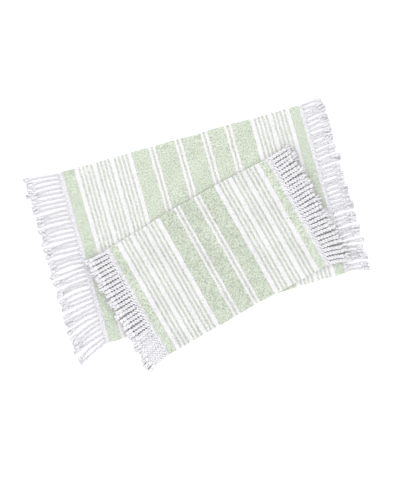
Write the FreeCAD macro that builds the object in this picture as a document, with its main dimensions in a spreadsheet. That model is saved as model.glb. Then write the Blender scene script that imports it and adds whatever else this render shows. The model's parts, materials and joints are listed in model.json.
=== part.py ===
"""A set of two hand-woven cotton bath mats: a small one laid askew on a large one.

The frame's origin is the middle of the large mat's underside, +X runs along its length, +Y
across it and +Z up. Each mat is a thin sheet of warp threads with the weft on both faces of
it. The weft is beaten in as runs of one colour: green end bands, wide green bands, dividers
of white, green and white, and groups of thin green lines on white. The warp leaves the plain
white headers at both ends as twisted cords, each with a knot and a frayed tuft.
"""

import FreeCAD, Part
import math
import os
from collections import Counter

import Sketcher

Vector, Rotation, Placement = FreeCAD.Vector, FreeCAD.Rotation, FreeCAD.Placement

os.makedirs("parts", exist_ok=True)
doc = FreeCAD.newDocument("bath_mat_set")

# ---------------------------------------------------------------- driving sizes, mm and degrees

SIZES = {
    # both mats
    "mat_thickness": 8.0,
    "warp_thickness": 1.6,
    "stack_gap": 0.3,
    # the fringe's cords, knots and tufts
    "cord_radius": 3.9,
    "cord_inset": 8.0,
    "knot_length": 13.0,
    "knot_radius": 6.0,
    "tuft_length": 19.0,
    "tuft_radius": 6.2,
    # where the small mat lies
    "small_centre_x": 13.7,
    "small_centre_y": -125.1,
    "small_turn": 13.8,
    # the large mat
    "large_width": 620.0,
    "large_header_left": 16.0,
    "large_header_right": 14.0,
    "large_end_band_left": 43.3,
    "large_end_band_right": 34.9,
    "large_line": 7.0,
    "large_line_gap": 7.3,
    "large_wide_white": 14.5,
    "large_divider_white": 8.6,
    "large_divider_line": 7.4,
    "large_band_1": 62.3,
    "large_band_2": 70.4,
    "large_band_3": 70.4,
    "large_band_4": 62.3,
    "large_band_5": 68.7,
    "large_left_reach": 128.0,
    "large_left_lean_back": 4.0,
    "large_left_lean_front": -27.0,
    "large_right_reach": 82.0,
    "large_right_lean_back": 9.0,
    "large_right_lean_front": -13.0,
    # the small mat
    "small_width": 434.0,
    "small_header_left": 12.7,
    "small_header_right": 12.3,
    "small_end_band_left": 29.3,
    "small_end_band_right": 27.9,
    "small_line": 7.2,
    "small_line_gap": 7.8,
    "small_wide_white": 16.1,
    "small_divider_white": 8.4,
    "small_divider_line": 7.8,
    "small_band_1": 58.5,
    "small_band_2": 56.0,
    "small_band_3": 57.8,
    "small_left_reach": 92.0,
    "small_left_lean_back": 1.0,
    "small_left_lean_front": -17.0,
    "small_right_reach": 92.0,
    "small_right_lean_back": 6.0,
    "small_right_lean_front": -21.0,
}

# How each mat is woven: its wide bands, and for the striped group at each end how many
# bundles of thin lines it has, each of how many lines. cords is the number at each end.
MATS = {
    "large": {"bands": 5, "bundles": {"left": 3, "right": 2}, "lines": 4, "cords": 39},
    "small": {"bands": 3, "bundles": {"left": 3, "right": 3}, "lines": 3, "cords": 28},
}

sheet = doc.addObject("Spreadsheet::Sheet", "Sizes")
for row, (alias, value) in enumerate(SIZES.items(), start=1):
    sheet.set(f"A{row}", alias)
    sheet.set(f"B{row}", str(value))
    sheet.setAlias(f"B{row}", alias)
doc.recompute()


def size(alias):
    """The value of a named cell."""
    return float(sheet.get(alias))


nodes = []


def keep(obj, label, place):
    """Names a finished sub-part and puts it in its place."""
    obj.Label = label
    obj.Placement = place
    nodes.append(obj)
    return obj


# ---------------------------------------------------------------- the order of the weft runs


def striped_group(mat, side):
    """Wide white runs with a bundle of thin green lines between each pair of them."""
    white, green = f"{side}_group_white", f"{side}_group_lines"
    runs = [(white, "wide_white")]
    for _ in range(MATS[mat]["bundles"][side]):
        for line in range(MATS[mat]["lines"]):
            if line > 0:
                runs.append((white, "line_gap"))
            runs.append((green, "line"))
        runs.append((white, "wide_white"))
    return runs


def wide_bands(mat):
    """The wide green bands, with a divider of white, green and white between two of them."""
    runs = []
    for band in range(1, MATS[mat]["bands"] + 1):
        if band > 1:
            divider = f"divider_{band - 1}"
            runs.append((f"{divider}_white", "divider_white"))
            runs.append((f"{divider}_line", "divider_line"))
            runs.append((f"{divider}_white", "divider_white"))
        runs.append((f"band_{band}", f"band_{band}"))
    return runs


def weft_runs(mat):
    """Every run of weft from the -X end to the +X end, as (piece, cell of its length)."""
    return (
        [("header_left", "header_left"), ("end_band_left", "end_band_left")]
        + striped_group(mat, "left")
        + wide_bands(mat)
        + striped_group(mat, "right")
        + [("end_band_right", "end_band_right"), ("header_right", "header_right")]
    )


def mat_length(mat):
    """From the outer edge of one header to the outer edge of the other."""
    return sum(size(f"{mat}_{cell}") for _, cell in weft_runs(mat))


def length_of(mat, runs):
    """The same sum for any runs of a mat, as an expression over the sheet."""
    counts = Counter(cell for _, cell in runs)
    terms = [f"{count} * Sizes.{mat}_{cell}" for cell, count in counts.items()]
    return " + ".join(terms) or "0"


# ---------------------------------------------------------------- sketches


def attach(body, role):
    """A new sketch on one of a body's base planes."""
    plane = next(f for f in body.Origin.OriginFeatures if f.Role == role)
    sketch = body.newObject("Sketcher::SketchObject", f"{body.Name}_sketch")
    sketch.AttachmentSupport = [(plane, "")]
    sketch.MapMode = "FlatFace"
    sketch.Visibility = False
    return sketch


def draw(sketch, edges):
    """Adds a closed outline, whose edges each end where the next one starts.

    Arcs run anticlockwise in a sketch, so an edge is given with the vertex it is left by:
    2 for its end, or 1 for an arc that the outline follows backwards.
    """
    for edge, _ in edges:
        sketch.addGeometry(edge, False)
    for i, (_, leave) in enumerate(edges):
        following = (i + 1) % len(edges)
        enter = 3 - edges[following][1]
        sketch.addConstraint(Sketcher.Constraint("Coincident", i, leave, following, enter))


def fix(sketch, kind, *where):
    """Adds a geometric constraint."""
    sketch.addConstraint(Sketcher.Constraint(kind, *where))


def bind(sketch, kind, where, expression):
    """Adds a dimension whose value is an expression over the sheet."""
    index = sketch.addConstraint(Sketcher.Constraint(kind, *where, 1.0))
    sketch.setExpression(f"Constraints[{index}]", expression)


def line(x0, y0, x1, y1):
    """A straight edge of an outline, left by its end."""
    return Part.LineSegment(Vector(x0, y0, 0), Vector(x1, y1, 0)), 2


def arc(x, y, radius, start, end, leave):
    """A round edge about (x, y), anticlockwise between two angles in radians."""
    circle = Part.Circle(Vector(x, y, 0), Vector(0, 0, 1), radius)
    return Part.ArcOfCircle(circle, start, end), leave


# A sketch's X axis and root point, and an arc's centre, as constraints name them
X_AXIS, ROOT, CENTRE = -1, (-1, 1), 3


# ---------------------------------------------------------------- the weave


def weft_layer(mat, cell, before, level):
    """One face's layer of a run: a flat bar across the mat, after the runs before it."""
    layer = doc.addObject("Part::Box", f"{mat}_{cell}_layer")
    layer.setExpression("Length", f"Sizes.{mat}_{cell}")
    layer.setExpression("Width", f"Sizes.{mat}_width - Sizes.mat_thickness")
    layer.setExpression("Height", "(Sizes.mat_thickness - Sizes.warp_thickness) / 2")
    half = f"({length_of(mat, weft_runs(mat))}) / 2"
    layer.setExpression("Placement.Base.x", f"{length_of(mat, before)} - {half}")
    layer.setExpression(
        "Placement.Base.y", f"(Sizes.mat_thickness - Sizes.{mat}_width) / 2"
    )
    layer.setExpression("Placement.Base.z", level)
    return layer


def weave(mat, place):
    """The weft runs of a mat, one sub-part for each band, header, group and divider."""
    upper = "(Sizes.mat_thickness + Sizes.warp_thickness) / 2"
    runs = weft_runs(mat)
    layers = {}
    for i, (piece, cell) in enumerate(runs):
        for level in ("0", upper):
            layers.setdefault(piece, []).append(weft_layer(mat, cell, runs[:i], level))
    for piece, bars in layers.items():
        group = doc.addObject("Part::Compound", f"{mat}_{piece}")
        group.Links = bars
        keep(group, f"{mat}_{piece}", place)


def warp_sheet(mat, place):
    """The sheet of warp threads in the middle of the weave, from header to header."""
    body = doc.addObject("PartDesign::Body", f"{mat}_warp")
    sketch = attach(body, "XY_Plane")
    x, y = mat_length(mat) / 2, (size(f"{mat}_width") - size("mat_thickness")) / 2
    outline = [line(-x, -y, x, -y), line(x, -y, x, y), line(x, y, -x, y), line(-x, y, -x, -y)]
    draw(sketch, outline)
    for side, direction in enumerate(("Horizontal", "Vertical") * 2):
        fix(sketch, direction, side)
    fix(sketch, "Symmetric", 0, 1, 1, 2, *ROOT)
    bind(sketch, "DistanceX", (0, 1, 0, 2), length_of(mat, weft_runs(mat)))
    bind(sketch, "DistanceY", (1, 1, 1, 2), f"Sizes.{mat}_width - Sizes.mat_thickness")
    pad = body.newObject("PartDesign::Pad", f"{mat}_warp_pad")
    pad.Profile = sketch
    pad.setExpression("Length", "Sizes.warp_thickness")
    rise = (size("mat_thickness") - size("warp_thickness")) / 2
    keep(body, f"{mat}_warp", place * Placement(Vector(0, 0, rise), Rotation()))


def selvedge(mat, side, place):
    """The half-round cord along a long edge, as thick as the mat, from header to header."""
    body = doc.addObject("PartDesign::Body", f"{mat}_selvedge_{side}")
    sketch = attach(body, "YZ_Plane")
    tall = size("mat_thickness")
    inner = (size(f"{mat}_width") - tall) / 2
    if side == "back":
        flat = line(inner, tall, inner, 0)
        draw(sketch, [flat, arc(inner, tall / 2, tall / 2, -math.pi / 2, math.pi / 2, 2)])
        top, out = 1, (*ROOT, 0, 2)
    else:
        flat = line(-inner, 0, -inner, tall)
        draw(sketch, [flat, arc(-inner, tall / 2, tall / 2, math.pi / 2, 3 * math.pi / 2, 2)])
        top, out = 2, (0, 1, *ROOT)
    fix(sketch, "Vertical", 0)
    fix(sketch, "Symmetric", 0, 1, 0, 2, 1, CENTRE)
    fix(sketch, "PointOnObject", 0, 3 - top, X_AXIS)
    bind(sketch, "Radius", (1,), "Sizes.mat_thickness / 2")
    bind(sketch, "DistanceX", out, f"(Sizes.{mat}_width - Sizes.mat_thickness) / 2")
    pad = body.newObject("PartDesign::Pad", f"{mat}_selvedge_{side}_pad")
    pad.Profile = sketch
    pad.setExpression("Length", length_of(mat, weft_runs(mat)))
    pad.Midplane = True
    keep(body, f"{mat}_selvedge_{side}", place)


# ---------------------------------------------------------------- the fringe


def turned(name, draw_profile):
    """A body turned about its X axis from the profile that draw_profile puts in its sketch."""
    body = doc.addObject("PartDesign::Body", name)
    sketch = attach(body, "XY_Plane")
    draw_profile(sketch)
    turn = body.newObject("PartDesign::Revolution", f"{name}_turn")
    turn.Profile = sketch
    turn.ReferenceAxis = (sketch, ["H_Axis"])
    turn.Angle = 360.0
    return body


def knot_profile(sketch):
    """A barrel whose flat ends are as wide as the cord."""
    end, middle, long = size("cord_radius"), size("knot_radius"), size("knot_length")
    bulge = middle - end
    round_radius = (long**2 / 4 + bulge**2) / (2 * bulge)
    slope = math.acos(long / 2 / round_radius)
    barrel = arc(long / 2, middle - round_radius, round_radius, slope, math.pi - slope, 2)
    draw(sketch, [line(0, 0, long, 0), line(long, 0, long, end), barrel, line(0, end, 0, 0)])
    fix(sketch, "Coincident", 0, 1, *ROOT)
    fix(sketch, "Horizontal", 0)
    fix(sketch, "Vertical", 1)
    fix(sketch, "Vertical", 3)
    fix(sketch, "Equal", 1, 3)
    bind(sketch, "DistanceX", (0, 1, 0, 2), "Sizes.knot_length")
    bind(sketch, "DistanceY", (1, 1, 1, 2), "Sizes.cord_radius")
    rise = "(Sizes.knot_radius - Sizes.cord_radius)"
    bind(sketch, "Radius", (2,), f"(Sizes.knot_length ^ 2 / 4 + {rise} ^ 2) / (2 * {rise})")


def tuft_profile(sketch):
    """A flare from the width of the cord, rounded off at the tip."""
    root, wide, long = size("cord_radius"), size("tuft_radius"), size("tuft_length")
    tip = arc(long - wide, 0, wide, 0, math.pi / 2, 2)
    draw(sketch, [line(0, 0, long, 0), tip, line(long - wide, wide, 0, root), line(0, root, 0, 0)])
    fix(sketch, "Coincident", 0, 1, *ROOT)
    fix(sketch, "Horizontal", 0)
    fix(sketch, "PointOnObject", 1, CENTRE, X_AXIS)
    fix(sketch, "Vertical", 1, CENTRE, 1, 2)
    fix(sketch, "Vertical", 3)
    bind(sketch, "DistanceX", (0, 1, 0, 2), "Sizes.tuft_length")
    bind(sketch, "DistanceY", (3, 2, 3, 1), "Sizes.cord_radius")
    bind(sketch, "Radius", (1,), "Sizes.tuft_radius")


def cord_places(mat, side):
    """Where each cord of one end starts, which way it points and its length to the knot.

    The cords fan out: the lean goes from the back edge's to the front edge's, faster towards
    the front. Neighbours differ a little in length and lean, as hand-twisted cords do. Each
    one leaves the middle of the header and climbs by the few degrees that its knot, which is
    thicker, lifts it by.
    """
    count = MATS[mat]["cords"]
    back, front = size(f"{mat}_{side}_lean_back"), size(f"{mat}_{side}_lean_front")
    reach = size(f"{mat}_{side}_reach")
    first = size(f"{mat}_width") / 2 - size("cord_inset")
    middle = size("mat_thickness") / 2
    end = 1 if side == "right" else -1
    for i in range(count):
        share = i / (count - 1)
        fan = 0.4 * share + 0.6 * share**4
        lean = back + (front - back) * fan + 0.6 * math.sin(2.3 * i)
        whole = reach * (1 - 0.04 * (1 + math.sin(1.7 * i + 0.6 * end)))
        to_knot = whole - size("knot_length") - size("tuft_length")
        climb = size("tuft_radius") + size("stack_gap") - middle
        slope = math.degrees(math.asin(climb / (to_knot + size("knot_length") / 2)))
        start = Vector(end * mat_length(mat) / 2, first - 2 * first * share, middle)
        heading = Rotation(Vector(0, 0, 1), lean if end > 0 else 180 - lean)
        yield start, heading * Rotation(Vector(0, 1, 0), -slope), to_knot


def fringe(mat, side, place, knot, tuft):
    """The cords, knots and tufts of one end, each a sub-part of separate solids."""
    length, tucked = mat_length(mat), size("cord_radius")
    woven = Part.makeBox(length, 2000, 200, Vector(-length / 2, -1000, -100))
    pieces = {"cords": [], "knots": [], "tufts": []}
    for start, heading, to_knot in cord_places(mat, side):
        along = heading.multVec(Vector(1, 0, 0))
        cord = Part.makeCylinder(
            size("cord_radius"), to_knot + tucked, start - along * tucked, along
        )
        pieces["cords"].append(cord.cut(woven))
        for name, pattern, at in (
            ("knots", knot, to_knot),
            ("tufts", tuft, to_knot + size("knot_length")),
        ):
            copy = pattern.Shape.copy()
            copy.Placement = Placement(start + along * at, heading)
            pieces[name].append(copy)
    for name, shapes in pieces.items():
        group = doc.addObject("Part::Feature", f"{mat}_{side}_{name}")
        group.Shape = Part.Compound(shapes)
        keep(group, f"{mat}_{side}_{name}", place)


# ---------------------------------------------------------------- both mats

PLACES = {
    "large": Placement(),
    "small": Placement(
        Vector(
            size("small_centre_x"),
            size("small_centre_y"),
            size("mat_thickness") + size("stack_gap"),
        ),
        Rotation(Vector(0, 0, 1), size("small_turn")),
    ),
}

knot = turned("knot_pattern", knot_profile)
tuft = turned("tuft_pattern", tuft_profile)
doc.recompute()
for mat, place in PLACES.items():
    weave(mat, place)
    warp_sheet(mat, place)
    for side in ("front", "back"):
        selvedge(mat, side, place)
    for side in ("left", "right"):
        fringe(mat, side, place, knot, tuft)
doc.recompute()

for obj in doc.Objects:
    if {"Invalid", "Error"} & set(obj.State):
        raise RuntimeError(f"{obj.Label} failed: {obj.State}")
for node in nodes:
    if node.Shape.isNull() or not node.Shape.isValid():
        raise RuntimeError(f"{node.Label} has no valid shape")
for node in nodes:
    node.Shape.exportStep(f"parts/{node.Label}.step")
    box = node.Shape.BoundBox
    print(
        f"{node.Label}: {len(node.Shape.Solids)} solids, {node.Shape.Volume / 1000:.1f} ml, "
        f"x {box.XMin:.1f}..{box.XMax:.1f} y {box.YMin:.1f}..{box.YMax:.1f} "
        f"z {box.ZMin:.1f}..{box.ZMax:.1f}"
    )
print(len(nodes), "sub-parts, large", mat_length("large"), "small", mat_length("small"))
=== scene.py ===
"""The looks of a set of two hand-woven cotton bath mats, a small one laid askew on a large one.

Everything is in metres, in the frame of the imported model. Each weft node becomes a piece of
real weave: picks of soft yarn with a nub wherever they pass over a warp, closed all round.
Each fringe becomes two-ply cords, wrapped knots and frayed tufts that lie on what is below.
"""

import json
import math

import bpy
import numpy as np
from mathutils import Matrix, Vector


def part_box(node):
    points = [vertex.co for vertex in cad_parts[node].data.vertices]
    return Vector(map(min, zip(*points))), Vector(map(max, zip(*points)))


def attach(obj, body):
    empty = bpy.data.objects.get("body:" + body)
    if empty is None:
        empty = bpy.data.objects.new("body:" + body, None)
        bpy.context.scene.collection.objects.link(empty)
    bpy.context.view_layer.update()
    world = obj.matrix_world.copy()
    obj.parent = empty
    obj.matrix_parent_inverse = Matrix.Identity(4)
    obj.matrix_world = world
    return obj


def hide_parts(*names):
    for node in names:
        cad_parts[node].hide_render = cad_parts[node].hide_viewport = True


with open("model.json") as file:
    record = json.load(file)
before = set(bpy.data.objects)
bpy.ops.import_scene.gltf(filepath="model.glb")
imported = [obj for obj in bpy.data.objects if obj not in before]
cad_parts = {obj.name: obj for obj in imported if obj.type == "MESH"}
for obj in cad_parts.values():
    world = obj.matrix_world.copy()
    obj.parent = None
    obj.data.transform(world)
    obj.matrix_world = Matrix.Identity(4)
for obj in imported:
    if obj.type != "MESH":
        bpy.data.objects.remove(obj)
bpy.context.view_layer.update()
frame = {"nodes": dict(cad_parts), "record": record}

MM = 0.001

# ---------------------------------------------------------------- sizes that the frame doesn't hold

PICK = 4.7 * MM  # one row of weft, along the mat
HEADER_PICK = 2.6 * MM
NUB = 5.4 * MM  # one stitch of weft over the warp, across the mat
ROW_DEPTH = 2.1 * MM  # how deep the groove between two picks is
NUB_DEPTH = 1.7 * MM
HEADER_DEPTH = 0.5  # the header's relief, as a share of the weave's
PIT_DEPTH = {"large": 1.0, "small": 1.3}  # the small mat is woven a little looser
UNEVEN_STITCH = 0.7 * MM  # how much lower one nub may be than another
UNEVEN_PICK = 0.2 * MM  # and one pick than another
ZIGZAG = 0.55 * MM  # how far a pick leans forward and back between two warps
SWAY = 0.8 * MM  # how far the picks wander along the mat
EDGE_WANDER = 1.3 * MM  # how far a long edge wanders
EDGE_GROOVE = 1.1 * MM  # how far the edge draws in between two picks
EDGE_BULGE = 0.3 * MM  # and how far it comes out at a pick
HEADER_PULL = 3.2 * MM  # how far the header's outer edge draws back between two cords
HEADER_THIN = 1.5 * MM  # and how much each of its faces sinks there
PICK_STEPS = 3
NUB_STEPS = 4
SELVEDGE_STEPS = 5
STITCHES = 4096  # random sizes of nubs, used over and over
GAP = 0.3 * MM  # between the two mats
RIPPLE = 0.7 * MM  # mean height of the large mat's ripple off the floor
DROOP_LENGTH = 48.0 * MM  # the small mat's S curve past the large mat's edge
DROOP_PAST = 42.0 * MM  # how far past the edge it ends

LARGE_SPREAD = 5.5 * MM  # how far the large mat's front edge is in at its right end, out at its left
SMALL_BOW = 3.2 * MM  # the small mat bows sideways in a wave of this height
SMALL_BOW_LENGTH = 720.0 * MM
SMALL_BOW_CREST = 40.0 * MM  # from the mat's middle
SMALL_SPREAD = 3.5 * MM  # how much the small mat's middle is wider than its ends, on each side
SMALL_SPREAD_MIDDLE = 0.45  # the share of it that is in the middle, beyond a true rectangle
BUNDLE = 1.6 * MM  # half the thickness of the warp at a long edge

CORD_INSET = 8.0 * MM
CORD_TUCKED = 5.0 * MM  # inside the header
CORD_ROOM = 8.4 * MM  # between the middles of two cords
TIP_ROOM = 3.0 * MM  # and how much more between knots and tufts
CORD_STEEPEST = 0.28  # slope of a cord that comes down from what it lies on
CORD_TURNS_DOWN = 9.0 * MM  # how soon a cord comes down from the header
KNOT_LIFT = 2.1 * MM  # how much higher a knot holds its cord
KNOT_LIFT_OVER = 6.0 * MM  # the length of cord over which it rises
KNOT_LENGTH = 13.0 * MM
TUFT_LENGTH = 19.0 * MM
FLARE = {"large": 6.2 * MM, "small": 8.2 * MM}  # how far a tuft's lobes spread from its axis
TWIST = 21.0 * MM  # one turn of a cord's two plies
PLY = {"large": 3.1 * MM, "small": 3.9 * MM}  # radius of one of a cord's two plies
PLY_OUT = {"large": 2.5 * MM, "small": 3.3 * MM}  # from the cord's axis to the middle of a ply
KNOT_YARN = {"large": 2.4 * MM, "small": 2.8 * MM}  # radius of the cord where it is tied
LOBES = 12  # fat soft strands in a tuft
LOOSE_STRANDS = 22  # thin ones
FRINGE_OVER = 45.0 * MM  # how much of the large mat's fringe can hold up the small mat's

HORIZON = 1.95  # strength of the light from the horizon, and from straight above
OVERHEAD = 0.42
LAMP_PLACE = Vector((0.3, -0.1, 5.0))
LAMP_SIDE = 2.0
LAMP_POWER = 50
FLOOR_LOW = 0.2 * MM  # the floor is this far below the mats
FLOOR_GLOW = 0.55
PICTURE_MIDDLE = Vector((-0.0284, -0.0535, 0))
CAMERA_HEIGHT = 3.0
CAMERA_WIDTH = 1.690  # how much of the floor the picture's long side shows
CAMERA_TURN = -15.7  # degrees
SENSOR = 36.0

# each end of each mat: cords, reach to the tip in mm, and the lean in degrees of the cords at
# its back and front edge, as in the CAD model, then three values for the looks: how many degrees
# the cords bow to +Y on their way, how many they stray and how full their yarn is
FRINGES = {
    "large_left": (39, 128.0, 4.0, -27.0, 9.0, 3.8, 0.93),
    "large_right": (39, 82.0, 9.0, -13.0, 9.0, 6.5, 0.95),
    "small_left": (28, 92.0, 1.0, -17.0, 2.0, 2.2, 0.93),
    "small_right": (28, 92.0, 6.0, -21.0, 2.0, 4.0, 0.98),
}

# ---------------------------------------------------------------- small helpers


def unit(vectors):
    """The vectors at length 1."""
    return vectors / np.linalg.norm(vectors, axis=-1, keepdims=True)


def waves(seed, count, low, high):
    """A smooth random surface of (x, y) between about -1 and 1, from waves of low to high metres."""
    rng = np.random.default_rng(seed)
    length = rng.uniform(low, high, count)
    way = rng.uniform(0, 2 * math.pi, count)
    phase = rng.uniform(0, 2 * math.pi, count)
    kx, ky = 2 * math.pi * np.cos(way) / length, 2 * math.pi * np.sin(way) / length

    def surface(x, y):
        x, y = np.broadcast_arrays(x, y)
        total = np.zeros(x.shape)
        for i in range(count):
            total += np.sin(kx[i] * x + ky[i] * y + phase[i])
        return total / math.sqrt(count) / 1.5

    return surface


def mesh_piece(name, points, quads, triangles):
    """A new object from arrays of points and faces, smooth shaded."""
    mesh = bpy.data.meshes.new(name)
    mesh.vertices.add(len(points))
    mesh.vertices.foreach_set("co", points.astype(np.float32).ravel())
    corners = np.concatenate([quads.ravel(), triangles.ravel()])
    sizes = np.concatenate([np.full(len(quads), 4), np.full(len(triangles), 3)])
    mesh.loops.add(len(corners))
    mesh.loops.foreach_set("vertex_index", corners.astype(np.int32))
    mesh.polygons.add(len(sizes))
    starts = np.concatenate([[0], np.cumsum(sizes)[:-1]])
    mesh.polygons.foreach_set("loop_start", starts.astype(np.int32))
    mesh.polygons.foreach_set("use_smooth", np.ones(len(sizes), bool))
    mesh.update(calc_edges=True)
    piece = bpy.data.objects.new(name, mesh)
    bpy.context.scene.collection.objects.link(piece)
    return piece


class Parts:
    """Collects points and faces of several closed shapes for one piece."""

    def __init__(self):
        self.points, self.quads, self.triangles, self.count = [], [], [], 0

    def add(self, points, quads, triangles):
        self.points.append(points.reshape(-1, 3))
        self.quads.append(quads.reshape(-1, 4) + self.count)
        self.triangles.append(triangles.reshape(-1, 3) + self.count)
        self.count += len(self.points[-1])

    def piece(self, name):
        return mesh_piece(
            name,
            np.concatenate(self.points),
            np.concatenate(self.quads),
            np.concatenate(self.triangles),
        )


def add_tubes(parts, paths, radii, normals, sides):
    """Closed tubes along paths (tubes, points, 3). normals give each ring's first direction."""
    tubes, rings = paths.shape[:2]
    along = unit(np.gradient(paths, axis=1))
    across = unit(normals - (normals * along).sum(-1, keepdims=True) * along)
    up = np.cross(along, across)
    turn = np.arange(sides) * 2 * math.pi / sides
    spoke = (
        np.cos(turn)[:, None] * across[:, :, None, :] + np.sin(turn)[:, None] * up[:, :, None, :]
    )
    if radii.ndim == 2:
        radii = radii[:, :, None]
    ring = paths[:, :, None, :] + radii[..., None] * spoke
    per = rings * sides + 2
    points = np.concatenate(
        [ring.reshape(tubes, -1, 3), paths[:, :1], paths[:, -1:]], axis=1
    )
    k = np.arange(sides)
    after = (k + 1) % sides
    i = np.arange(rings - 1)[:, None] * sides
    quads = np.stack([i + k, i + after, i + sides + after, i + sides + k], axis=-1).reshape(-1, 4)
    first, last = rings * sides, rings * sides + 1
    end = (rings - 1) * sides
    caps = np.concatenate(
        [
            np.stack([np.full(sides, first), after, k], axis=-1),
            np.stack([np.full(sides, last), end + k, end + after], axis=-1),
        ]
    )
    shift = (np.arange(tubes) * per)[:, None, None]
    parts.add(points, quads[None] + shift, caps[None] + shift)


# ---------------------------------------------------------------- the two mats in the frame


def corners_of(node):
    """The vertices of a CAD node."""
    mesh = frame["nodes"][node].data
    flat = np.zeros(len(mesh.vertices) * 3)
    mesh.vertices.foreach_get("co", flat)
    return flat.reshape(-1, 3)


class Mat:
    """One mat: its place, its size and the height of its underside over the floor."""

    def __init__(self, name):
        self.name = name
        warp = corners_of(f"{name}_warp")
        lowest, rightmost = warp[warp[:, 1].argmin()], warp[warp[:, 0].argmax()]
        if name == "small":
            self.turn = math.atan2(rightmost[1] - lowest[1], rightmost[0] - lowest[0])
        else:
            self.turn = 0.0
        self.centre = (warp.min(0) + warp.max(0)) / 2
        band_low, band_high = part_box(f"{name}_band_1")
        self.thick = band_high.z - band_low.z
        self.base = band_low.z
        flat = self.local(warp)
        self.length = float(np.ptp(flat[:, 0]))
        self.inner = float(np.ptp(flat[:, 1])) / 2  # from the middle to where the edge rounds off
        self.warp_thick = float(np.ptp(warp[:, 2]))
        self.seed = {"large": 10, "small": 60}[name]
        self.sway = waves(self.seed, 7, 22 * MM, 90 * MM)
        self.edge = waves(self.seed + 1, 5, 90 * MM, 320 * MM)

    def local(self, points):
        """Frame points in the mat's own x and y."""
        x, y = points[:, 0] - self.centre[0], points[:, 1] - self.centre[1]
        c, s = math.cos(self.turn), math.sin(self.turn)
        return np.stack([x * c + y * s, y * c - x * s], axis=-1)

    def pulled(self, x, y):
        """A mat isn't quite a rectangle: its own y with the bow and spread of its edges."""
        half = self.inner + self.thick / 2
        if self.name == "large":
            return y + LARGE_SPREAD * x / (self.length / 2) * (half - y) / (2 * half)
        bow = SMALL_BOW * np.cos(2 * math.pi * (x - SMALL_BOW_CREST) / SMALL_BOW_LENGTH)
        spread = SMALL_SPREAD * (SMALL_SPREAD_MIDDLE - (x / (self.length / 2)) ** 2)
        return y * (1 + spread / half) + bow

    def place(self, x, y):
        """The mat's own x and y in the frame."""
        y = self.pulled(x, y)
        c, s = math.cos(self.turn), math.sin(self.turn)
        return self.centre[0] + x * c - y * s, self.centre[1] + x * s + y * c

    def put(self, x, y, z):
        """A point of the mat, z from its middle, in the frame, with the mat lying as it lies."""
        fx, fy = self.place(x, y)
        return np.stack([fx, fy, self.under(fx, fy) + self.thick / 2 + z], axis=-1)


large, small = Mat("large"), Mat("small")
ripple = waves(3, 6, 160 * MM, 420 * MM)


def floor_ripple(x, y):
    """How far the large mat lies off the floor: cotton never lies quite flat."""
    return RIPPLE * (1 + ripple(x, y)).clip(0, None)


def top_of_large(x, y):
    """The height of whatever of the large mat and its fringe is at a place."""
    half = large.inner + large.thick / 2
    fringed = (np.abs(y) < half) & (np.abs(x) < large.length / 2 + FRINGE_OVER)
    return np.where(fringed, large.thick + floor_ripple(x, y), 0.0)


def droop_by_hand(y):
    """The small mat's underside where it leaves the large mat: an S curve to the floor."""
    edge = large.inner + large.thick / 2
    share = ((y + edge + DROOP_PAST) / DROOP_LENGTH).clip(0, 1)
    return large.thick * share * share * (3 - 2 * share)


def small_under(x, y):
    """The small mat's underside."""
    drop = droop_by_hand(y)
    return drop * (1 + floor_ripple(x, y) / large.thick) + GAP * (drop > 0)


large.under = floor_ripple
small.under = small_under

# ---------------------------------------------------------------- the weave


def intervals(mat, node):
    """Where a weft node's runs begin and end along its mat."""
    x = np.unique(np.round(mat.local(corners_of(node))[:, 0], 5))
    kept = [x[0]]
    for value in x[1:]:
        if value - kept[-1] > 0.5 * MM:
            kept.append(value)
    return list(zip(kept[0::2], kept[1::2]))


def weft_nodes(mat):
    """The weft nodes of a mat, from the record."""
    other = ("warp", "selvedge", "cords", "knots", "tufts")
    members = frame["record"]["behaviour"]["bodies"][f"{mat.name}_mat"]
    return [n for n in members if not any(word in n for word in other)]


def columns(mat):
    """Each weft node's runs, each as arrays over the steps along it: x, phase in its pick, number
    of the pick's first groove and how much relief it has."""
    runs = [(a, b, node) for node in weft_nodes(mat) for a, b in intervals(mat, node)]
    grooves = 0
    found = {}
    for a, b, node in sorted(runs):
        pitch = HEADER_PICK if "header" in node else PICK
        picks = max(1, round((b - a) / pitch))
        step = np.arange(picks * PICK_STEPS + 1)
        pick = np.minimum(step // PICK_STEPS, picks - 1)
        phase = step / PICK_STEPS - pick
        relief = HEADER_DEPTH if "header" in node else 1.0
        x = a + (b - a) * step / step[-1]
        found.setdefault(node, []).append((x, phase, grooves + pick, relief))
        grooves += picks
    return found


def relief_at(mat, x, y, phase, pick, relief, face):
    """How far the yarn's surface is below the mat's full half thickness, and its sway along x."""
    crown = np.sin(math.pi * phase)
    nub = y / NUB + 0.5 * (pick % 2) + 0.12 * mat.edge(x * 3 + face, y * 3)
    hollow = 1 - np.abs(np.sin(math.pi * nub))
    rng = np.random.default_rng(mat.seed + 5)
    size = rng.uniform(0, 1, STITCHES)
    stitch = (np.floor(nub).astype(int) * 37 + pick * 101 + int(face * 7)) % STITCHES
    uneven = UNEVEN_STITCH * size[stitch] * crown + UNEVEN_PICK * size[pick % STITCHES] * crown
    loose = (0.85 + 0.25 * mat.sway(x * 0.6, y * 0.6)) * PIT_DEPTH[mat.name]
    down = (ROW_DEPTH * (1 - crown) + NUB_DEPTH * hollow * crown) * loose + uneven
    zigzag = ZIGZAG * (1 - 2 * phase) * (1 - 2 * (pick % 2)) * np.cos(2 * math.pi * y / NUB)
    shift = SWAY * mat.sway(x, y) + zigzag * relief
    return down * relief, shift


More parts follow.
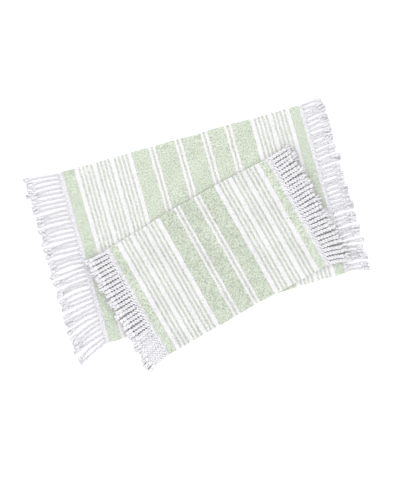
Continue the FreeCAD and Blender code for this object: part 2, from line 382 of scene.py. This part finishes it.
def gathered(mat, face, sign):
    """A header's face with the warp drawn together towards the cords along its outer edge."""
    end = np.sign(face[0, 0, 0])
    count = FRINGES[f"{mat.name}_{'right' if end > 0 else 'left'}"][0]
    first = mat.inner + mat.thick / 2 - CORD_INSET
    between = (1 - np.cos(2 * math.pi * (first - face[..., 1]) / (2 * first) * (count - 1))) / 2
    out = np.abs(face[..., 0])
    share = (out - out.min()) / np.ptp(out)
    face[..., 0] -= end * HEADER_PULL * between * share**2
    face[..., 2] -= sign * HEADER_THIN * between * share
    return face


def add_run(parts, mat, x, phase, pick, relief):
    """A closed shell for one run of weft: top, rounded edges, underside and both ends."""
    m = int(round(2 * mat.inner / NUB * NUB_STEPS / 2))
    top_y = np.linspace(-mat.inner, mat.inner, 2 * m + 1)
    low_y = top_y[::-2]
    half = mat.thick / 2
    px, ph, pk = x[:, None], phase[:, None], pick[:, None]

    def face(y, sign):
        """The run's surface, above for a sign of 1 and below for -1."""
        down, shift = relief_at(mat, px, y[None], ph, pk, relief, sign)
        stretch = 1 + EDGE_WANDER * mat.edge(px, 0.0) / mat.inner
        return np.stack(
            np.broadcast_arrays(px + shift, y[None] * stretch, sign * (half - down)), axis=-1
        )

    top, low = face(top_y, 1.0), face(low_y, -1.0)
    if relief == HEADER_DEPTH:
        top, low = gathered(mat, top, 1.0), gathered(mat, low, -1.0)
    crown = np.sin(math.pi * phase)
    out = half - (EDGE_GROOVE * (1 - crown) - EDGE_BULGE * crown) * relief
    turn = (np.arange(SELVEDGE_STEPS) + 1) * math.pi / (SELVEDGE_STEPS + 1)

    def rounding(start, stop, side):
        """The points of a rounded edge between two corners of the section."""
        share = (1 - np.cos(turn)) / 2
        x_at = start[:, None, 0] * (1 - share) + stop[:, None, 0] * share
        y_at = start[:, None, 1] * (1 - share) + stop[:, None, 1] * share
        z_at = start[:, None, 2] * (1 - share) + stop[:, None, 2] * share
        return np.stack([x_at, y_at + side * out[:, None] * np.sin(turn), z_at], axis=-1)

    back = rounding(top[:, -1], low[:, 0], 1)
    front = rounding(low[:, -1], top[:, 0], -1)
    ring = np.concatenate([top, back, low, front], axis=1)
    steps, around = ring.shape[:2]
    points = mat.put(ring[..., 0], ring[..., 1], ring[..., 2])
    k = np.arange(around)
    after = (k + 1) % around
    i = np.arange(steps - 1)[:, None] * around
    quads = np.stack([i + k, i + around + k, i + around + after, i + after], axis=-1)

    # each end: triangles between the two faces, then a fan over each rounded edge
    tops = np.arange(2 * m + 1)
    lows = 2 * m + 1 + SELVEDGE_STEPS + m - np.arange(m + 1)
    j = np.arange(m)
    caps = [
        np.stack([tops[2 * j], tops[2 * j + 1], lows[j]], axis=-1),
        np.stack([tops[2 * j + 1], tops[2 * j + 2], lows[j + 1]], axis=-1),
        np.stack([tops[2 * j + 1], lows[j + 1], lows[j]], axis=-1),
    ]
    for hub, painted_side_shade in (
        (2 * m, np.arange(2 * m + 1, 2 * m + 2 + SELVEDGE_STEPS)),
        (lows[0], np.append(np.arange(lows[0] + 1, around), 0)),
    ):
        caps.append(np.stack([np.full(len(painted_side_shade) - 1, hub), painted_side_shade[:-1], painted_side_shade[1:]], axis=-1))
    first = np.concatenate(caps)
    last = first[:, ::-1] + (steps - 1) * around
    parts.add(points, quads, np.concatenate([first, last]))


def weave(mat):
    """A piece for each weft node of a mat."""
    pieces = []
    for node, runs in columns(mat).items():
        parts = Parts()
        for run in runs:
            add_run(parts, mat, *run)
        piece = parts.piece(f"{node}_weave")
        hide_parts(node)
        kinds = ("white", "header", "line", "small_end")
        kind = next((word for word in kinds if word in node), mat.name)
        dress(piece, mat, f"{kind}_weft")
        pieces.append(piece)
    return pieces


def warp(mat):
    """The sheet of warp threads inside the weave, with a thicker bundle along each edge."""
    steps_x, steps_y = 160, 120
    y = np.linspace(-mat.inner, mat.inner, steps_y)
    x = np.linspace(-mat.length / 2 + 1 * MM, mat.length / 2 - 1 * MM, steps_x)
    near_edge = np.exp(-(((mat.inner - np.abs(y)) / (3 * MM)) ** 2))
    thread = 0.8 + 0.2 * np.cos(2 * math.pi * y / NUB)
    half = mat.warp_thick / 2 * thread + (BUNDLE - mat.warp_thick / 2) * near_edge
    section_y = np.concatenate([y, y[::-1]])
    section_z = np.concatenate([half, -half[::-1]])
    gx, gy = np.meshgrid(x, section_y, indexing="ij")
    gz = np.broadcast_to(section_z, gx.shape)
    points = mat.put(gx, gy, gz)
    around = len(section_y)
    k = np.arange(around)
    after = (k + 1) % around
    i = np.arange(len(x) - 1)[:, None] * around
    quads = np.stack([i + k, i + around + k, i + around + after, i + after], axis=-1)
    j = np.arange(steps_y - 1)
    cap = np.stack([j, j + 1, around - 2 - j, around - 1 - j], axis=-1)
    end = cap[:, ::-1] + (len(x) - 1) * around
    parts = Parts()
    parts.add(points, np.concatenate([quads.reshape(-1, 4), cap, end]), np.zeros((0, 3), int))
    piece = parts.piece(f"{mat.name}_warp_sheet")
    nodes = [f"{mat.name}_warp", f"{mat.name}_selvedge_front", f"{mat.name}_selvedge_back"]
    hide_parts(*nodes)
    dress(piece, mat, "warp_cotton")
    return piece


# ---------------------------------------------------------------- the fringe


def cord_lines(mat, side):
    """The centre lines of one end's cords from inside the header to the tips of the tufts."""
    count, reach, back, front, bow, astray, _ = FRINGES[f"{mat.name}_{side}"]
    end = 1 if side == "right" else -1
    rng = np.random.default_rng(mat.seed + 20 + end)
    i = np.arange(count)
    share = i / (count - 1)
    fan = 0.4 * share + 0.6 * share**4
    lean = back + (front - back) * fan + 0.6 * np.sin(2.3 * i)
    length = reach * MM * (1 - 0.04 * (1 + np.sin(1.7 * i + 0.6 * end)))
    first = mat.inner + mat.thick / 2 - CORD_INSET
    beyond = 8 * MM  # the longest strands reach past the mean tip
    steps = 60
    s = np.linspace(0, 1, steps)[None] * (length + CORD_TUCKED + beyond)[:, None]
    u = ((s - CORD_TUCKED) / length[:, None]).clip(0, 1)
    bend = bow * rng.uniform(0.5, 1.5, count) * (0.5 + 0.5 * share)
    stray = rng.normal(0, astray, count).clip(-2 * astray, 2 * astray)
    curl = rng.uniform(-1, 1, count) * astray
    angle = lean[:, None] + bend[:, None] * (1 - 2 * u) + stray[:, None] * u
    angle += curl[:, None] * np.sin(2.6 * math.pi * u + rng.uniform(0, 6, count)[:, None])
    heading = np.radians(angle) if end > 0 else math.pi - np.radians(angle)
    ds = np.diff(s, axis=1)
    origin = np.zeros((count, 1))
    dx = np.concatenate([origin, np.cumsum(ds * np.cos(heading[:, 1:]), axis=1)], axis=1)
    dy = np.concatenate([origin, np.cumsum(ds * np.sin(heading[:, 1:]), axis=1)], axis=1)
    x = end * (mat.length / 2 - CORD_TUCKED) + dx
    y = (first - 2 * first * share)[:, None] + dy
    room = CORD_ROOM + TIP_ROOM * (u > 1 - (KNOT_LENGTH + TUFT_LENGTH) / length[:, None])
    for _ in range(30):  # neighbours push each other apart, a little at a time
        gap_x, gap_y = x[1:] - x[:-1], y[1:] - y[:-1]
        apart = np.hypot(gap_x, gap_y)
        push = (np.minimum(room[1:], room[:-1]) - apart).clip(0, None) / 2 / apart
        push[:, :4] = 0  # what is inside the header stays where it is
        x[1:] += gap_x * push
        x[:-1] -= gap_x * push
        y[1:] += gap_y * push
        y[:-1] -= gap_y * push
    fx, fy = mat.place(x, y)
    before_knot = length[:, None] - KNOT_LENGTH - TUFT_LENGTH - 2 * MM
    at_knot = ((u * length[:, None] - before_knot) / KNOT_LIFT_OVER).clip(0, 1)
    thick = PLY[mat.name] + 0.85 * PLY_OUT[mat.name] + KNOT_LIFT * at_knot
    ground = thick if mat is large else top_of_large(fx, fy) + GAP + thick
    apart = np.abs(s[:, :, None] - s[:, None, :])
    z = (ground[:, None, :] - CORD_STEEPEST * apart).max(-1)
    root = mat.under(fx, fy) + mat.thick / 2
    near = np.exp(-((s - CORD_TUCKED).clip(0, None)) / CORD_TURNS_DOWN)
    z = np.maximum(z, ground) * (1 - near) + root * near
    return np.stack([fx, fy, z], axis=-1), s - CORD_TUCKED, length


def sideways(paths):
    """The level direction across each path, and the one square to both."""
    along = unit(np.gradient(paths, axis=1))
    across = unit(np.cross(np.array([0.0, 0.0, 1.0]), along))
    return along, across, np.cross(along, across)


def ride_along(paths, s, at):
    """Points on each path at lengths at, (cords, points), by linear interpolation."""
    found = np.empty(at.shape + (3,))
    for i in range(len(paths)):
        for axis in range(3):
            found[i, :, axis] = np.interp(at[i], s[i], paths[i, :, axis])
    return found


def cords(mat, side, paths, s, length):
    """Two plies twisted round each other, spread out where they leave the header."""
    parts = Parts()
    rng = np.random.default_rng(mat.seed + 40 + len(side))
    full = FRINGES[f"{mat.name}_{side}"][-1]
    end = (length - KNOT_LENGTH - TUFT_LENGTH + 5 * MM)[:, None]
    at = np.linspace(0, 1, 60)[None] * (end + CORD_TUCKED) - CORD_TUCKED
    line = ride_along(paths, s, at)
    _, across, up = sideways(line)
    start = np.cumsum(rng.normal(0, 0.6, len(paths)))[:, None]
    root = np.exp(-at.clip(0, None) / (5 * MM))
    for ply in range(2):
        turn = start + 2 * math.pi * at / TWIST + math.pi * ply
        way = np.cos(turn)[..., None] * across * (1 + 0.9 * root)[..., None]
        way = way + np.sin(turn)[..., None] * up * (0.75 - 0.3 * root)[..., None]
        uneven = 1 + 0.2 * np.cos(2 * turn) + 0.08 * np.sin(at / (2.3 * MM) + start * 3 + ply)
        uneven += 0.06 * np.sin(at / (5.2 * MM) + start * 7)
        out = way * full * PLY_OUT[mat.name]
        add_tubes(parts, line + out, full * PLY[mat.name] * uneven, way, 8)
    piece = parts.piece(f"{mat.name}_{side}_twisted_cords")
    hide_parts(f"{mat.name}_{side}_cords")
    dress(piece, mat, f"{mat.name}_fringe")
    return piece


def knots(mat, side, paths, s, length):
    """An overhand knot in each cord: the cord wound twice round itself."""
    parts = Parts()
    rng = np.random.default_rng(mat.seed + 50 + len(side))
    count = len(paths)
    yarn = KNOT_YARN[mat.name]
    t = np.linspace(0, 1, 44)[None]
    start = (length - KNOT_LENGTH - TUFT_LENGTH)[:, None]
    wound = start + KNOT_LENGTH * (0.1 + 0.8 * t)
    line = ride_along(paths, s, wound)
    _, across, up = sideways(line)
    belly = np.sin(math.pi * t.clip(0.04, 0.96)) ** 0.35
    begin = rng.uniform(0, 6.28, (count, 1))
    for loop in range(2):
        turn = begin + math.pi * loop + 2 * math.pi * 1.6 * t
        way = np.cos(turn)[..., None] * across * 1.1 + 0.9 * np.sin(turn)[..., None] * up
        radius = 1.7 * yarn * belly * rng.uniform(0.9, 1.12, (count, 1))
        thick = 1.22 * yarn * belly * rng.uniform(0.9, 1.12, (count, 1))
        add_tubes(parts, line + way * radius[..., None], thick, way, 8)
    core = ride_along(paths, s, start + KNOT_LENGTH * np.linspace(-0.1, 1.1, 9)[None])
    _, core_across, _ = sideways(core)
    add_tubes(parts, core, np.full((count, 9), 1.5 * yarn), core_across, 8)
    piece = parts.piece(f"{mat.name}_{side}_tied_knots")
    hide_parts(f"{mat.name}_{side}_knots")
    dress(piece, mat, TIP_LOOKS.get(f"{mat.name}_{side}", f"{mat.name}_fringe"))
    return piece


def add_strands(parts, rng, paths, s, start, bulk, kind):
    """One strand of every tuft of an end: it leaves the knot and curls out to its own tip."""
    count = len(paths)
    reach, flare, radius, swell, points, sides = kind
    t = np.linspace(0, 1, points)[None]
    where = rng.uniform(0, 2 * math.pi, (count, 1))
    out = np.sqrt(rng.uniform(0.1, 1, (count, 1))) * flare * bulk
    long = rng.uniform(0.7, 1.05, (count, 1)) * reach * bulk
    line = ride_along(paths, s, start + TUFT_LENGTH * (long * t - 0.14))
    _, across, up = sideways(line)
    turn = where + rng.uniform(-1.1, 1.1, (count, 1)) * t
    wave = rng.uniform(4, 10, (count, 1)) * t + rng.uniform(0, 6, (count, 1))
    spread = 0.5 + 0.5 * np.sin(0.5 * math.pi * t) ** 0.8
    side_way = np.cos(turn) * out * spread + 0.8 * MM * np.sin(wave) * t
    up_way = np.sin(turn) * out * spread * 0.72 + 0.5 * MM * np.cos(wave) * t
    strand = line + side_way[..., None] * across + up_way[..., None] * up
    thick = radius * (1 + swell * np.sin(math.pi * t.clip(0, 0.92)))
    strand[..., 2] = strand[..., 2].clip(1.2 * thick, None)
    add_tubes(parts, strand, thick * rng.uniform(0.85, 1.15, (count, 1)), up, sides)


def tufts(mat, side, paths, s, length):
    """The frayed end of each cord: fat soft lobes of untwisted yarn and thin loose strands."""
    parts = Parts()
    rng = np.random.default_rng(mat.seed + 70 + len(side))
    start = (length - TUFT_LENGTH)[:, None]
    bulk = rng.uniform(0.75, 1.3, (len(paths), 1))
    # reach as a share of the tuft, flare, radius, swell, and points along and around
    lobe = (0.95, FLARE[mat.name], 2.0 * MM, 0.6, 9, 7)
    loose = (1.02, FLARE[mat.name] + 2 * MM, 0.5 * MM, 0.1, 9, 4)
    for _ in range(LOBES):
        add_strands(parts, rng, paths, s, start, bulk, lobe)
    for _ in range(LOOSE_STRANDS):
        add_strands(parts, rng, paths, s, start, bulk, loose)
    piece = parts.piece(f"{mat.name}_{side}_frayed_tufts")
    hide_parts(f"{mat.name}_{side}_tufts")
    dress(piece, mat, TIP_LOOKS.get(f"{mat.name}_{side}", f"{mat.name}_fringe"))
    return piece


def fringe(mat, side):
    """The cords, knots and tufts of one end."""
    paths, s, length = cord_lines(mat, side)
    return [make(mat, side, paths, s, length) for make in (cords, knots, tufts)]


# ---------------------------------------------------------------- materials


def linear(red, green, blue):
    """A colour from 0 to 255 as Blender's linear values."""

    def one(value):
        value /= 255
        return value / 12.92 if value <= 0.04045 else ((value + 0.055) / 1.055) ** 2.4

    return one(red), one(green), one(blue), 1.0


def cotton(name, light, dark, mottle, fibre, depth, painted_side_shade):
    """Soft cotton yarn: mottled colour, painted shade on its sides where painted_side_shade is
    given, a sheen of loose fibres and their fine relief.
    """
    material = bpy.data.materials.new(name)
    material.use_nodes = True
    nodes, links = material.node_tree.nodes, material.node_tree.links
    shader = nodes["Principled BSDF"]
    shader.inputs["Roughness"].default_value = 0.92
    shader.inputs["Specular IOR Level"].default_value = 0.12
    shader.inputs["Sheen Weight"].default_value = 0.05
    shader.inputs["Sheen Roughness"].default_value = 0.6
    place = nodes.new("ShaderNodeTexCoord")
    specks = nodes.new("ShaderNodeTexNoise")
    specks.inputs["Scale"].default_value = mottle
    specks.inputs["Detail"].default_value = 3.0
    specks.inputs["Roughness"].default_value = 0.6
    links.new(place.outputs["Object"], specks.inputs["Vector"])
    ramp = nodes.new("ShaderNodeValToRGB")
    ramp.color_ramp.elements[0].position = 0.27
    ramp.color_ramp.elements[0].color = [0.6 * value for value in linear(*dark)[:3]] + [1]
    ramp.color_ramp.elements[1].position = 0.6
    ramp.color_ramp.elements[1].color = linear(*light)
    ramp.color_ramp.elements.new(0.4).color = linear(*dark)
    links.new(specks.outputs["Fac"], ramp.inputs["Fac"])
    colour = ramp.outputs["Color"]
    # painted shade: where the surface faces sideways or down, the colour turns to
    # painted_side_shade, so the sides look darker as if they were in shade
    if painted_side_shade:
        facing = nodes.new("ShaderNodeNewGeometry")
        parts = nodes.new("ShaderNodeSeparateXYZ")
        fade = nodes.new("ShaderNodeMapRange")
        fade.inputs["From Min"].default_value = 0.15
        fade.inputs["From Max"].default_value = 0.8
        mix = nodes.new("ShaderNodeMix")
        mix.data_type = "RGBA"
        links.new(facing.outputs["Normal"], parts.inputs["Vector"])
        links.new(parts.outputs["Z"], fade.inputs["Value"])
        links.new(fade.outputs["Result"], mix.inputs["Factor"])
        mix.inputs[6].default_value = linear(*painted_side_shade)
        links.new(colour, mix.inputs[7])
        colour = mix.outputs[2]
    links.new(colour, shader.inputs["Base Color"])
    fuzz = nodes.new("ShaderNodeTexNoise")
    fuzz.inputs["Scale"].default_value = fibre
    fuzz.inputs["Detail"].default_value = 4.0
    fuzz.inputs["Distortion"].default_value = 1.5
    links.new(place.outputs["Object"], fuzz.inputs["Vector"])
    bump = nodes.new("ShaderNodeBump")
    bump.inputs["Strength"].default_value = 0.5
    bump.inputs["Distance"].default_value = depth
    links.new(fuzz.outputs["Fac"], bump.inputs["Height"])
    links.new(bump.outputs["Normal"], shader.inputs["Normal"])
    return material


# each look: the light and the dark of its mottle, 0 to 255, the mottle's scale, the scale and the
# depth of its fibres' relief, and where there is one, the colour of painted shade on the sides and
# undersides of a cord, knot or tuft
LOOKS = {
    "large_weft": ((235, 243, 228), (190, 199, 181), 245, 1100, 0.5 * MM, None),
    "small_weft": ((231, 239, 224), (184, 193, 176), 235, 1100, 0.5 * MM, None),
    # the small mat's end bands, painted lighter than its other green: partly their own paler tone,
    # partly painted light against the shade of the cords beside them
    "small_end_weft": ((238, 245, 230), (192, 200, 183), 235, 1100, 0.5 * MM, None),
    "line_weft": ((233, 239, 228), (192, 199, 186), 245, 1100, 0.5 * MM, None),
    "white_weft": ((255, 253, 255), (240, 238, 242), 245, 1100, 0.5 * MM, None),
    "header_weft": ((253, 252, 255), (218, 217, 223), 230, 1100, 0.5 * MM, None),
    "warp_cotton": ((232, 231, 236), (222, 221, 228), 400, 1300, 0.4 * MM, None),
    # painted shade: the same cotton as small_fringe, painted greyer on the large mat's cords, knots
    # and tufts
    "large_fringe": ((255, 254, 255), (222, 221, 228), 230, 1500, 0.6 * MM, (182, 181, 190)),
    "small_fringe": ((255, 254, 255), (236, 235, 240), 260, 1500, 0.6 * MM, (210, 209, 216)),
    # a darker copy of small_fringe: painted shade on the small mat's right knots and tufts
    "tangled_fringe": ((252, 251, 252), (222, 221, 225), 260, 1500, 0.6 * MM, (172, 170, 175)),
}
MATERIALS = {name: cotton(name, *look) for name, look in LOOKS.items()}

TIP_LOOKS = {"small_right": "tangled_fringe"}  # knots and tufts painted darker than the rest of their fringe, with darker sides: painted shade for the dark gaps between them


def dress(piece, mat, look):
    """Gives a piece its material and makes it move with its mat."""
    piece.data.materials.append(MATERIALS[look])
    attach(piece, f"{mat.name}_mat")


# ---------------------------------------------------------------- floor, light and camera


def studio():
    """A pale floor, soft light from above and a camera that looks straight down."""
    bpy.ops.mesh.primitive_plane_add(size=12, location=(0, 0, -FLOOR_LOW))
    floor = bpy.context.object
    floor.name = "studio_floor"
    paper = bpy.data.materials.new("studio_paper")
    paper.use_nodes = True
    shader = paper.node_tree.nodes["Principled BSDF"]
    shader.inputs["Base Color"].default_value = (0.9, 0.9, 0.9, 1)
    shader.inputs["Roughness"].default_value = 1.0
    shader.inputs["Specular IOR Level"].default_value = 0.0
    shader.inputs["Emission Color"].default_value = (1, 1, 1, 1)
    shader.inputs["Emission Strength"].default_value = FLOOR_GLOW
    floor.data.materials.append(paper)

    world = bpy.data.worlds.new("studio_world")
    world.use_nodes = True
    nodes, links = world.node_tree.nodes, world.node_tree.links
    way = nodes.new("ShaderNodeTexCoord")
    parts = nodes.new("ShaderNodeSeparateXYZ")
    fade = nodes.new("ShaderNodeMapRange")
    fade.inputs["To Min"].default_value = HORIZON
    fade.inputs["To Max"].default_value = OVERHEAD
    links.new(way.outputs["Generated"], parts.inputs["Vector"])
    links.new(parts.outputs["Z"], fade.inputs["Value"])
    links.new(fade.outputs["Result"], nodes["Background"].inputs["Strength"])
    nodes["Background"].inputs["Color"].default_value = (1, 1, 1, 1)
    bpy.context.scene.world = world

    lamp = bpy.data.lights.new("key", "AREA")
    lamp.shape = "SQUARE"
    lamp.size = LAMP_SIDE
    lamp.energy = LAMP_POWER
    light = bpy.data.objects.new("key", lamp)
    light.location = LAMP_PLACE
    light.rotation_euler = (PICTURE_MIDDLE - LAMP_PLACE).to_track_quat("-Z", "Y").to_euler()
    bpy.context.scene.collection.objects.link(light)

    camera = bpy.data.objects.new("camera", bpy.data.cameras.new("camera"))
    camera.location = (PICTURE_MIDDLE.x, PICTURE_MIDDLE.y, CAMERA_HEIGHT)
    camera.rotation_euler = (0, 0, math.radians(CAMERA_TURN))
    camera.data.sensor_width = SENSOR
    camera.data.lens = SENSOR * CAMERA_HEIGHT / CAMERA_WIDTH
    camera.data.clip_end = 50
    bpy.context.scene.collection.objects.link(camera)
    bpy.context.scene.camera = camera
    bpy.context.scene.view_settings.view_transform = "Standard"
    bpy.context.scene.cycles.diffuse_bounces = 1


# ---------------------------------------------------------------- both mats

for mat in (large, small):
    woven = weave(mat)
    fringes = fringe(mat, "left") + fringe(mat, "right")
    sheet = warp(mat)
studio()
